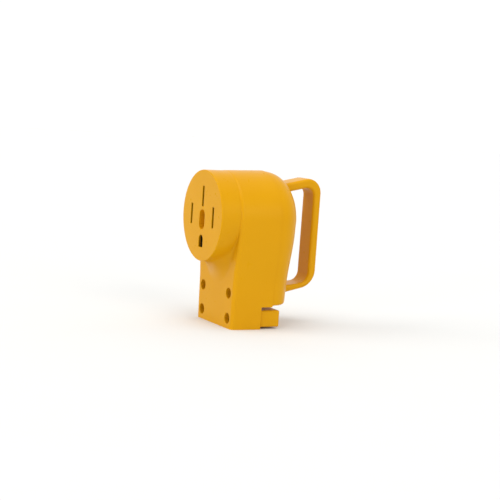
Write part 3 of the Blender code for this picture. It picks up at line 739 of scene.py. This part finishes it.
def strap_handle():
    """The strap handle, drawn in side view as an outer line and an inner line."""
    width, thickness, rounding = sizes("handle", "width", "thickness", "rounding")
    back, inner = TOTAL_DEPTH, TOTAL_DEPTH - thickness
    outer_line = [
        (ARM_ROOT, 28.9), (82.0, 32.2),
        *arc(13.0, back - 13.0, 22.8, 98.0, 0.0, 24),
        *arc(16.8, back - 17.2, -46.8, 0.0, -75.0, 24),
        (82.0, -67.2), (ARM_ROOT, -70.6),
    ]
    inner_line = [
        (ARM_ROOT, 20.5), (84.0, 24.4),
        *arc(7.0, inner - 7.0, 20.4, 100.0, 0.0, 24),
        *arc(9.8, inner - 10.4, -49.3, 0.0, -72.0, 24),
        (88.0, -60.0), (ARM_ROOT, -61.6),
    ]
    return strap(outer_line, inner_line, width / 2, rounding)


def round_foot(obj, rise, size, split):
    """Rounds the outer bottom edge of a cover that has just been cut flat at a rise."""
    bm = bmesh.new()
    bm.from_mesh(obj.data)
    rim = [
        edge for edge in bm.edges
        if all(abs(v.co.z - rise) < 1e-3 for v in edge.verts)
        and any(v.co.y > split + 2.0 for v in edge.verts)
        and len({face.normal.z < -0.99 for face in edge.link_faces}) == 2
    ]
    round_edges(bm, rim, size, 5)
    bm.to_mesh(obj.data)
    bm.free()


REAR_INSET, REAR_FOOT_ROUND, CABLE_ROOM = 0.7, 2.4, 2.0
INSERT_RADIUS, INSERT_FRONT, INSERT_END = 3.6, 50.8, 61.5


class CONNECTOR_OT_rear_housing(bpy.types.Operator):
    """Build the yellow rear moulding: a domed cover with the handle, fixing bosses and a locating lip"""

    bl_idname = "connector.rear_housing"
    bl_label = "Rear Housing"

    def execute(self, context):
        split, wall, rear, dome = sizes("shell", "split_depth", "wall", "rear_depth", "rear_round")
        screw_x, cable = sizes("clamp", "screw_offset", "cable_radius")
        below, front = REAR_FLOOR - 40, split + GAP
        shell = body_solid(REAR_INSET, below, front, rear, rear_round=dome, segments=16)
        cut(shell, block((-WIDE, 20, below - FAR_PAST), (WIDE, 110, REAR_FLOOR)))
        round_foot(shell, REAR_FLOOR, REAR_FOOT_ROUND, split)
        join(shell, strap_handle())
        hollow = body_solid(
            REAR_INSET + wall, below, front - 2.0, rear - wall, rear_round=dome - wall, segments=12
        )
        cut(hollow, block((-WIDE, 20, below - FAR_PAST), (WIDE, 110, CHAMBER_FLOOR)))
        cut(shell, hollow)
        edge, floor = wall + GAP, CHAMBER_FLOOR + GAP
        lip = body_solid(edge, floor, LIP_DEPTH, front + 4.0)
        inside = body_solid(
            edge + LIP_THICKNESS, floor + LIP_THICKNESS, LIP_DEPTH - PAST, front + FAR_PAST
        )
        cut(lip, inside)
        join(shell, lip)
        for side, _ in SIDES:
            x, rise = side * screw_x, HOUSING_SCREW["rise"]
            boss = rod(BOSS_RADIUS - 1.0, BOSS_MEETING + GAP, rear, x, rise)
            within = body_solid(
                REAR_INSET + wall / 2, below, BOSS_MEETING - FAR_PAST, rear - wall / 2,
                rear_round=dome - wall / 2, segments=10,
            )
            join(shell, combine(boss, [within], "INTERSECT"))
            cut(shell, rod(INSERT_RADIUS + GAP, BOSS_MEETING - PAST, INSERT_END + PAST, x, rise))
        top = CHAMBER_FLOOR + 6.0
        cut(shell, upright_rod(cable + CABLE_ROOM, REAR_FLOOR - FAR_PAST, top, CABLE_DEPTH))
        finish_piece(shell, "rear_moulding", "connector", "yellow_moulding", ["rear_housing"])
        return {"FINISHED"}


# ---- The cable clamp and its nuts -------------------------------------------


class CONNECTOR_OT_cable_clamp(bpy.types.Operator):
    """Build the rear half of the cable entry, with a pocket from behind for each captive nut"""

    bl_idname = "connector.cable_clamp"
    bl_label = "Cable Clamp"

    def execute(self, context):
        half, screw_x, rounding = sizes("clamp", "half_width", "screw_offset", "rounding")
        body = block((-half, CABLE_DEPTH + GAP, CLAMP_BOTTOM), (half, CLAMP_REAR, CLAMP_TOP), rounding)
        cut(body, cable_cutter(CLAMP_BOTTOM - FAR_PAST, CLAMP_TOP + FAR_PAST))
        pocket, rise, behind = NUT_SIDE / 2 + GAP, CLAMP_SCREW["rise"], CLAMP_REAR + PAST
        for side, _ in SIDES:
            x = side * screw_x
            cut(
                body,
                rod(CLAMP_SCREW["radius"] + GAP, CABLE_DEPTH - PAST, behind, x, rise, 32),
                block((x - pocket, NUT_DEPTH - GAP, rise - pocket), (x + pocket, behind, rise + pocket)),
            )
        finish_piece(body, "clamp_moulding", "clamp", "yellow_moulding", ["cable_clamp"])
        return {"FINISHED"}


class CONNECTOR_OT_clamp_nuts(bpy.types.Operator):
    """Build the square nuts held in the cable clamp"""

    bl_idname = "connector.clamp_nuts"
    bl_label = "Clamp Nuts"

    def execute(self, context):
        half, rear, rise = NUT_SIDE / 2, NUT_DEPTH + NUT_THICKNESS, CLAMP_SCREW["rise"]
        for side, word in SIDES:
            x = side * sizes("clamp", "screw_offset")
            nut = block((x - half, NUT_DEPTH, rise - half), (x + half, rear, rise + half), NUT_ROUND, 2)
            cut(nut, rod(CLAMP_SCREW["radius"] + GAP, NUT_DEPTH - PAST, rear + PAST, x, rise, 40))
            finish_piece(nut, f"square_nut_{word}", "clamp", "zinc_steel", [f"clamp_nut_{word}"])
        return {"FINISHED"}


# ---- Screws and inserts, made by node trees ---------------------------------


def new_tree(name, *sizes_taken):
    """A node tree that takes points, sizes, a turn and a material by name, and gives a mesh."""
    tree = bpy.data.node_groups.new(name, "GeometryNodeTree")
    kinds = {"Points": "Geometry", **dict.fromkeys(sizes_taken, "Float")}
    kinds |= {"Turn": "Vector", "Material": "Material"}
    for socket, kind in kinds.items():
        tree.interface.new_socket(socket, in_out="INPUT", socket_type=f"NodeSocket{kind}")
    tree.interface.new_socket("Mesh", in_out="OUTPUT", socket_type="NodeSocketGeometry")
    return tree, add_node(tree, "NodeGroupInput").outputs


def calculate(tree, operation, first, second=0.0, third=0.0):
    """The result of one step of arithmetic in a node tree."""
    step = add_node(tree, "ShaderNodeMath", {0: first, 1: second, 2: third}, operation=operation)
    return step.outputs["Value"]


def vector(tree, **parts):
    return add_node(tree, "ShaderNodeCombineXYZ", parts).outputs["Vector"]


def raised(tree, mesh, rise):
    """Moves a mesh along Z."""
    inputs = {"Geometry": mesh, "Translation": vector(tree, Z=rise)}
    return add_node(tree, "GeometryNodeTransform", inputs).outputs["Geometry"]


def cylinder(tree, radius, depth, around, rows=1):
    """A closed cylinder about the origin, along Z."""
    inputs = {"Vertices": around, "Side Segments": rows, "Radius": radius, "Depth": depth}
    return add_node(tree, "GeometryNodeMeshCylinder", inputs).outputs["Mesh"]


def boolean(tree, operation, **meshes):
    inputs = {key.replace("_", " "): mesh for key, mesh in meshes.items()}
    return add_node(tree, "GeometryNodeMeshBoolean", inputs, operation=operation).outputs["Mesh"]


def shaped_radius(tree, mesh, radius):
    """Moves every point of a cylinder on Z to a radius that may vary over the surface."""
    do = functools.partial(calculate, tree)
    at = add_node(tree, "GeometryNodeInputPosition").outputs["Position"]
    parts = add_node(tree, "ShaderNodeSeparateXYZ", {"Vector": at}).outputs
    angle = do("ARCTAN2", parts["Y"], parts["X"])
    away = radius(parts["Z"], angle)
    moved = vector(
        tree, Z=parts["Z"],
        X=do("MULTIPLY", away, do("COSINE", angle)), Y=do("MULTIPLY", away, do("SINE", angle)),
    )
    inputs = {"Geometry": mesh, "Position": moved}
    return add_node(tree, "GeometryNodeSetPosition", inputs).outputs["Geometry"]


def finish_tree(tree, mesh, inputs):
    """Puts a copy of the mesh on every point, makes the copies real, and gives them their material."""
    placed = add_node(
        tree, "GeometryNodeInstanceOnPoints",
        {"Points": inputs["Points"], "Instance": mesh, "Rotation": inputs["Turn"]},
    )
    real = add_node(tree, "GeometryNodeRealizeInstances", {"Geometry": placed.outputs["Instances"]})
    smooth = add_node(tree, "GeometryNodeSetShadeSmooth", {"Geometry": real.outputs["Geometry"]})
    coated = add_node(
        tree, "GeometryNodeSetMaterial",
        {"Geometry": smooth.outputs["Geometry"], "Material": inputs["Material"]},
    )
    add_node(tree, "NodeGroupOutput", {"Mesh": coated.outputs["Geometry"]})
    return tree


CROWN_DROP, RECESS_SPAN, THREAD_ROWS = 0.45, 4.4, 6.0
ROOT_OVERLAP = 0.5  # How far the shank runs up into the head


def screw_tree():
    """A pan-head screw with a cross recess: its seat at the point, its head up Z, its thread down Z."""
    tree, inputs = new_tree(
        "pan head screw", "Head Radius", "Head Height", "Shank Radius", "Length", "Pitch",
        "Recess Width", "Recess Depth",
    )
    do = functools.partial(calculate, tree)
    height, reach, pitch = inputs["Head Height"], inputs["Length"], inputs["Pitch"]

    def crown(z, angle):
        """The head's radius: full up to nearly half its height, then drawn in as a dome."""
        above = do("MAXIMUM", do("MULTIPLY_ADD", do("DIVIDE", z, height), 1.8, -0.8), 0.0)
        share = do("MULTIPLY_ADD", do("MULTIPLY", above, above), -CROWN_DROP, 1.0)
        return do("MULTIPLY", inputs["Head Radius"], do("SQRT", share))

    head = cylinder(tree, inputs["Head Radius"], height, 48, 9)
    head = raised(tree, head, do("MULTIPLY", height, 0.5))
    width = inputs["Recess Width"]
    span, deep = do("MULTIPLY", width, RECESS_SPAN), do("MULTIPLY", inputs["Recess Depth"], 2.0)
    arms = []
    for wide, narrow in (("X", "Y"), ("Y", "X")):
        size = vector(tree, **{wide: span, narrow: width, "Z": deep})
        arm = add_node(tree, "GeometryNodeMeshCube", {"Size": size}).outputs["Mesh"]
        arms.append(raised(tree, arm, height))
    driven = boolean(tree, "DIFFERENCE", Mesh_1=shaped_radius(tree, head, crown), Mesh_2=arms)

    def thread(z, angle):
        """The shank's radius: a V cut along a helix, fading out below the head."""
        turns = do("MULTIPLY_ADD", angle, 1 / (2 * math.pi), do("DIVIDE", z, pitch))
        depth = do("MULTIPLY", do("PINGPONG", turns, 0.5), pitch)
        started = do("DIVIDE", do("MULTIPLY", z, -0.5), pitch)
        fade = add_node(tree, "ShaderNodeClamp", {"Value": started}).outputs["Result"]
        return do("SUBTRACT", inputs["Shank Radius"], do("MULTIPLY", depth, fade))

    rows = do("CEIL", do("MULTIPLY", do("DIVIDE", reach, pitch), THREAD_ROWS))
    overlap = ROOT_OVERLAP * MM
    shank = raised(
        tree, cylinder(tree, inputs["Shank Radius"], do("ADD", reach, overlap), 28, rows),
        do("MULTIPLY_ADD", reach, -0.5, overlap / 2),
    )
    whole = boolean(tree, "UNION", Mesh_2=[driven, shaped_radius(tree, shank, thread)])
    return finish_tree(tree, whole, inputs)


KNURL_BAND = 0.55  # A ring of knurls every 2 pi times this, in millimetres


def insert_tree():
    """A knurled sleeve with a plain bore. Its front is at the point and its length up Z."""
    tree, inputs = new_tree("knurled insert", "Radius", "Bore", "Length", "Knurl Depth", "Knurls")
    do = functools.partial(calculate, tree)
    reach, depth = inputs["Length"], inputs["Knurl Depth"]

    def knurled(z, angle):
        """The sleeve's radius: ridges round it, in bands between plain grooves."""
        turns = do("MULTIPLY", angle, do("DIVIDE", inputs["Knurls"], 2 * math.pi))
        ridge = do("PINGPONG", turns, 0.5)
        band = do("GREATER_THAN", do("SINE", do("MULTIPLY", z, 1 / (KNURL_BAND * MM))), -0.5)
        dip = do("MULTIPLY", do("MULTIPLY", ridge, 2.0), depth)
        groove = do("MULTIPLY", do("SUBTRACT", 1.0, band), depth)
        return do("SUBTRACT", inputs["Radius"], do("MAXIMUM", dip, groove))

    bar = raised(tree, cylinder(tree, inputs["Radius"], reach, 112, 40), do("MULTIPLY", reach, 0.5))
    bore = cylinder(tree, inputs["Bore"], do("MULTIPLY", reach, 3.0), 40)
    sleeve = boolean(tree, "DIFFERENCE", Mesh_1=shaped_radius(tree, bar, knurled), Mesh_2=bore)
    return finish_tree(tree, sleeve, inputs)


def grown_piece(tree, points, values, name, body, slot_name, replaced):
    """Runs a node tree on points in the connector's frame and keeps the result as a plain mesh."""
    mesh = bpy.data.meshes.new(name)
    mesh.from_pydata([(Vector(point) + ORIGIN) * MM for point in points], [], [])
    obj = new_object(name, mesh)
    modifier = obj.modifiers.new(tree.name, "NODES")
    modifier.node_group = tree
    values = dict(values, Material=shared_material(slot_name))
    for item in tree.interface.items_tree:
        if item.in_out == "INPUT" and item.name in values:
            modifier[item.identifier] = values[item.name]
    apply_modifiers(obj)
    obj.data.set_sharp_from_angle(angle=math.radians(SCREW_SMOOTH_ANGLE))
    return tie_to_frame(obj, name, body, slot_name, replaced)


SCREW_SMOOTH_ANGLE = 38.0
FORWARD, BACKWARD = (math.radians(90), 0.0, 0.0), (math.radians(-90), 0.0, 0.0)


def screw_values(screw, reach, turn, recess_depth=1.8):
    """A screw's sizes as the node tree's inputs. TURN points its head forward or backward."""
    fasteners = bpy.context.scene.connector_fasteners
    return {
        "Head Radius": screw["head_radius"] * MM, "Head Height": screw["head"] * MM,
        "Shank Radius": screw["radius"] * MM, "Length": reach * MM, "Pitch": fasteners.thread_pitch,
        "Recess Width": fasteners.recess_width, "Recess Depth": recess_depth * MM, "Turn": turn,
    }


class CONNECTOR_OT_block_screws(bpy.types.Operator):
    """Build the screws in the block: the upper pair holds the rear housing, the lower pair the clamp"""

    bl_idname = "connector.block_screws"
    bl_label = "Lower Block Screws"

    def execute(self, context):
        tree = screw_tree()
        for screw, kind in ((HOUSING_SCREW, "housing"), (CLAMP_SCREW, "clamp")):
            seat = screw["seat"] - GAP
            values = screw_values(screw, screw["tip"] - seat, FORWARD)
            for side, word in SIDES:
                point = (side * sizes("clamp", "screw_offset"), seat, screw["rise"])
                body = "connector" if kind == "housing" else f"clamp_screw_{word}"
                grown_piece(
                    tree, [point], values, f"{kind}_bolt_{word}", body, "zinc_steel",
                    [f"{kind}_screw_{word}"],
                )
        return {"FINISHED"}


class CONNECTOR_OT_carrier_screws(bpy.types.Operator):
    """Build the screws that hold the retainer and the carrier in the barrel"""

    bl_idname = "connector.carrier_screws"
    bl_label = "Carrier Screws"

    def execute(self, context):
        seat = CARRIER_SCREW["seat"]
        points = [(x, seat, rise) for x, rise in carrier_screw_places()]
        words = [
            f"carrier_screw_{'upper' if rise > 0 else 'lower'}_{'right' if x > 0 else 'left'}"
            for x, _, rise in points
        ]
        values = screw_values(CARRIER_SCREW, seat - CARRIER_SCREW["tip"], BACKWARD, SMALL_RECESS)
        values["Recess Width"] *= 0.9
        grown_piece(screw_tree(), points, values, "carrier_fixings", "connector", "zinc_steel", words)
        return {"FINISHED"}


TERMINAL_SCREW = dict(radius=2.4, head_radius=4.4, head=3.2, seat=40.9, tip=33.0)
SMALL_RECESS = 1.4
TERMINAL_FINISH = {"hot": "brass", "neutral": "nickel_plate", "ground": "zinc_steel"}


def stations():
    """The four terminals: kind, the tail of their names, the name of their bodies, and place."""
    left, right, neutral = slot_places()
    ground = (0.0, -sizes("sockets", "ground_drop"))
    return (
        ("hot", "_left", "hot_left", left), ("hot", "_right", "hot_right", right),
        ("neutral", "", "neutral", neutral), ("ground", "", "ground", ground),
    )


class CONNECTOR_OT_terminal_screws(bpy.types.Operator):
    """Build each wire terminal's screw: brass on the hots, nickel on the neutral, green on the ground"""

    bl_idname = "connector.terminal_screws"
    bl_label = "Terminal Screws"

    def execute(self, context):
        tree, seat = screw_tree(), TERMINAL_SCREW["seat"]
        values = screw_values(TERMINAL_SCREW, seat - TERMINAL_SCREW["tip"], BACKWARD, SMALL_RECESS)
        for kind, tail, station, (x, rise) in stations():
            finish = "green_screw" if kind == "ground" else TERMINAL_FINISH[kind]
            grown_piece(
                tree, [(x, seat, rise)], values, f"{kind}_binding_screw{tail}", f"{station}_screw",
                finish, [f"{kind}_terminal_screw{tail}"],
            )
        return {"FINISHED"}


class CONNECTOR_OT_inserts(bpy.types.Operator):
    """Build the knurled brass inserts in the rear housing's bosses"""

    bl_idname = "connector.inserts"
    bl_label = "Brass Inserts"

    def execute(self, context):
        fasteners = context.scene.connector_fasteners
        x = sizes("clamp", "screw_offset")
        values = {
            "Radius": INSERT_RADIUS * MM, "Bore": (HOUSING_SCREW["radius"] + GAP) * MM,
            "Length": (INSERT_END - INSERT_FRONT) * MM, "Knurl Depth": fasteners.knurl_depth,
            "Knurls": float(fasteners.knurls), "Turn": BACKWARD,
        }
        points = [(side * x, INSERT_FRONT, HOUSING_SCREW["rise"]) for side, _ in SIDES]
        grown_piece(
            insert_tree(), points, values, "knurled_inserts", "connector", "brass",
            [f"housing_insert_{word}" for _, word in SIDES],
        )
        return {"FINISHED"}


# ---- Parts whose CAD shape is kept ------------------------------------------


class CONNECTOR_OT_inner_parts(bpy.types.Operator):
    """Give the carrier, retainer, contacts, springs and pressure plates their finishes"""

    bl_idname = "connector.inner_parts"
    bl_label = "Inner Parts"

    def execute(self, context):
        finishes = {"contact_carrier": "carrier_plastic", "contact_retainer": "carrier_plastic"}
        for kind, tail, _, _ in stations():
            finishes[f"{kind}_contact{tail}"] = "brass"
            finishes[f"{kind}_spring{tail}"] = "spring_steel"
            finishes[f"{kind}_pressure_plate{tail}"] = TERMINAL_FINISH[kind]
        for name, slot_name in finishes.items():
            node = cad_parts[name]
            node.data.materials.clear()
            node.data.materials.append(shared_material(slot_name))
        return {"FINISHED"}


# ---- Floor, light and camera ------------------------------------------------

CAMERA_PLACE = (1.02072, -0.53951, 0.19202)
CAMERA_RIGHT = (0.45533, 0.88802, 0.06397)
CAMERA_UP = (-0.12640, -0.00665, 0.99196)
CAMERA_LENS, CAMERA_SENSOR = 93.4, 36.0
FLOOR_HALF, FLOOR_MOTTLE_MM = 6.0, 1000 / 12
WALL_TOWARD = (-0.8, 0.6, 0.0)
ROOM_GLOW, WALL_GLOW = 0.55, 1.05
# Distant lamps, so that the whole floor is lit evenly: name, direction, spread in degrees and strength.
LAMPS = (
    ("front box", (-0.5, -1.5, 0.9), 40.0, 1.0),
    ("overhead box", (0.3, -0.2, 1.6), 50.0, 1.2),
    ("side box", (1.75, 0.25, 0.75), 35.0, 0.8),
    ("edge strip", (0.8, -1.5, 0.3), 9.0, 0.3),
)


def soft_light(name, come_from, spread_degrees, strength):
    """A lamp that shines on everything alike from one side, its edges softened by its spread."""
    lamp = bpy.data.lights.new(name, "SUN")
    lamp.angle = math.radians(spread_degrees)
    lamp.energy = strength
    obj = new_object(name, lamp)
    obj.location = come_from
    obj.rotation_euler = Vector(come_from).to_track_quat("Z", "Y").to_euler()


class CONNECTOR_OT_stage(bpy.types.Operator):
    """Make the pale floor, the soft studio light and the camera"""

    bl_idname = "connector.stage"
    bl_label = "Floor, Light and Camera"

    def execute(self, context):
        scene = context.scene
        mesh = bpy.data.meshes.new("floor")
        signs = ((-1, -1), (1, -1), (1, 1), (-1, 1))
        corners = [(x * FLOOR_HALF, y * FLOOR_HALF, 0.0) for x, y in signs]
        mesh.from_pydata(corners, [], [(0, 1, 2, 3)])
        floor = new_object("floor", mesh)
        # Matt painted board: pale, even, with the faintest mottling of a rolled coat.
        material, tree, shader, place = new_material("matt_painted_board")
        tint = scene.connector_finishes.floor
        tone = two_tone(tree, noise(tree, place, FLOOR_MOTTLE_MM, 2.0), tint, darker(tint, 0.985))
        fill(tree, shader, {"Base Color": tone, "Roughness": 0.9, "Specular IOR Level": 0.1})
        mesh.materials.append(material)

        world = bpy.data.worlds.new("studio")
        world.use_nodes = True
        # A white wall behind the object, falling off to a dimmer room in front of it.
        tree = world.node_tree
        toward = add_node(tree, "ShaderNodeTexCoord").outputs["Generated"]
        facing = add_node(
            tree, "ShaderNodeVectorMath", {0: toward, 1: WALL_TOWARD}, operation="DOT_PRODUCT"
        ).outputs["Value"]
        glow = spread(tree, facing, ROOM_GLOW, WALL_GLOW, -0.1, 0.7)
        fill(tree, tree.nodes["Background"], {"Color": (1.0, 1.0, 1.0, 1.0), "Strength": glow})
        scene.world = world
        scene.view_settings.view_transform = "Standard"
        for lamp in LAMPS:
            soft_light(*lamp)

        camera = new_object("camera", bpy.data.cameras.new("camera"))
        right, up = Vector(CAMERA_RIGHT).normalized(), Vector(CAMERA_UP).normalized()
        back = right.cross(up).normalized()
        up = back.cross(right)
        turned = Matrix((right, up, back)).transposed().to_4x4()
        camera.matrix_world = Matrix.Translation(CAMERA_PLACE) @ turned
        camera.data.lens = CAMERA_LENS
        camera.data.sensor_width = CAMERA_SENSOR
        scene.camera = camera
        return {"FINISHED"}


# ---- Panel, registration and the run ----------------------------------------

GROUPS = (
    ("connector_shell", ConnectorShell), ("connector_sockets", ConnectorSockets),
    ("connector_handle", ConnectorHandle), ("connector_clamp", ConnectorClamp),
    ("connector_fasteners", ConnectorFasteners), ("connector_finishes", ConnectorFinishes),
)
OPERATORS = (
    CONNECTOR_OT_stage, CONNECTOR_OT_front_housing, CONNECTOR_OT_rear_housing, CONNECTOR_OT_cable_clamp,
    CONNECTOR_OT_clamp_nuts, CONNECTOR_OT_block_screws, CONNECTOR_OT_carrier_screws,
    CONNECTOR_OT_terminal_screws, CONNECTOR_OT_inserts, CONNECTOR_OT_inner_parts,
)


class CONNECTOR_PT_panel(bpy.types.Panel):
    """Lists the connector's sizes and the steps that build it"""

    bl_idname = "CONNECTOR_PT_panel"
    bl_label = "Cord Connector"
    bl_space_type = "VIEW_3D"
    bl_region_type = "UI"
    bl_category = "Connector"

    def draw(self, context):
        for operator in OPERATORS:
            self.layout.operator(operator.bl_idname)
        for key, group in GROUPS:
            box = self.layout.box()
            box.label(text=group.__doc__)
            for name in group.__annotations__:
                box.prop(getattr(context.scene, key), name)


def register():
    for key, group in GROUPS:
        bpy.utils.register_class(group)
        setattr(bpy.types.Scene, key, bpy.props.PointerProperty(type=group))
    for cls in (*OPERATORS, CONNECTOR_PT_panel):
        bpy.utils.register_class(cls)


def unregister():
    for cls in (CONNECTOR_PT_panel, *reversed(OPERATORS)):
        bpy.utils.unregister_class(cls)
    for key, group in reversed(GROUPS):
        delattr(bpy.types.Scene, key)
        bpy.utils.unregister_class(group)


def main():
    register()
    for operator in OPERATORS:
        family, name = operator.bl_idname.split(".")
        getattr(getattr(bpy.ops, family), name)()


if __name__ == "__main__":
    main()
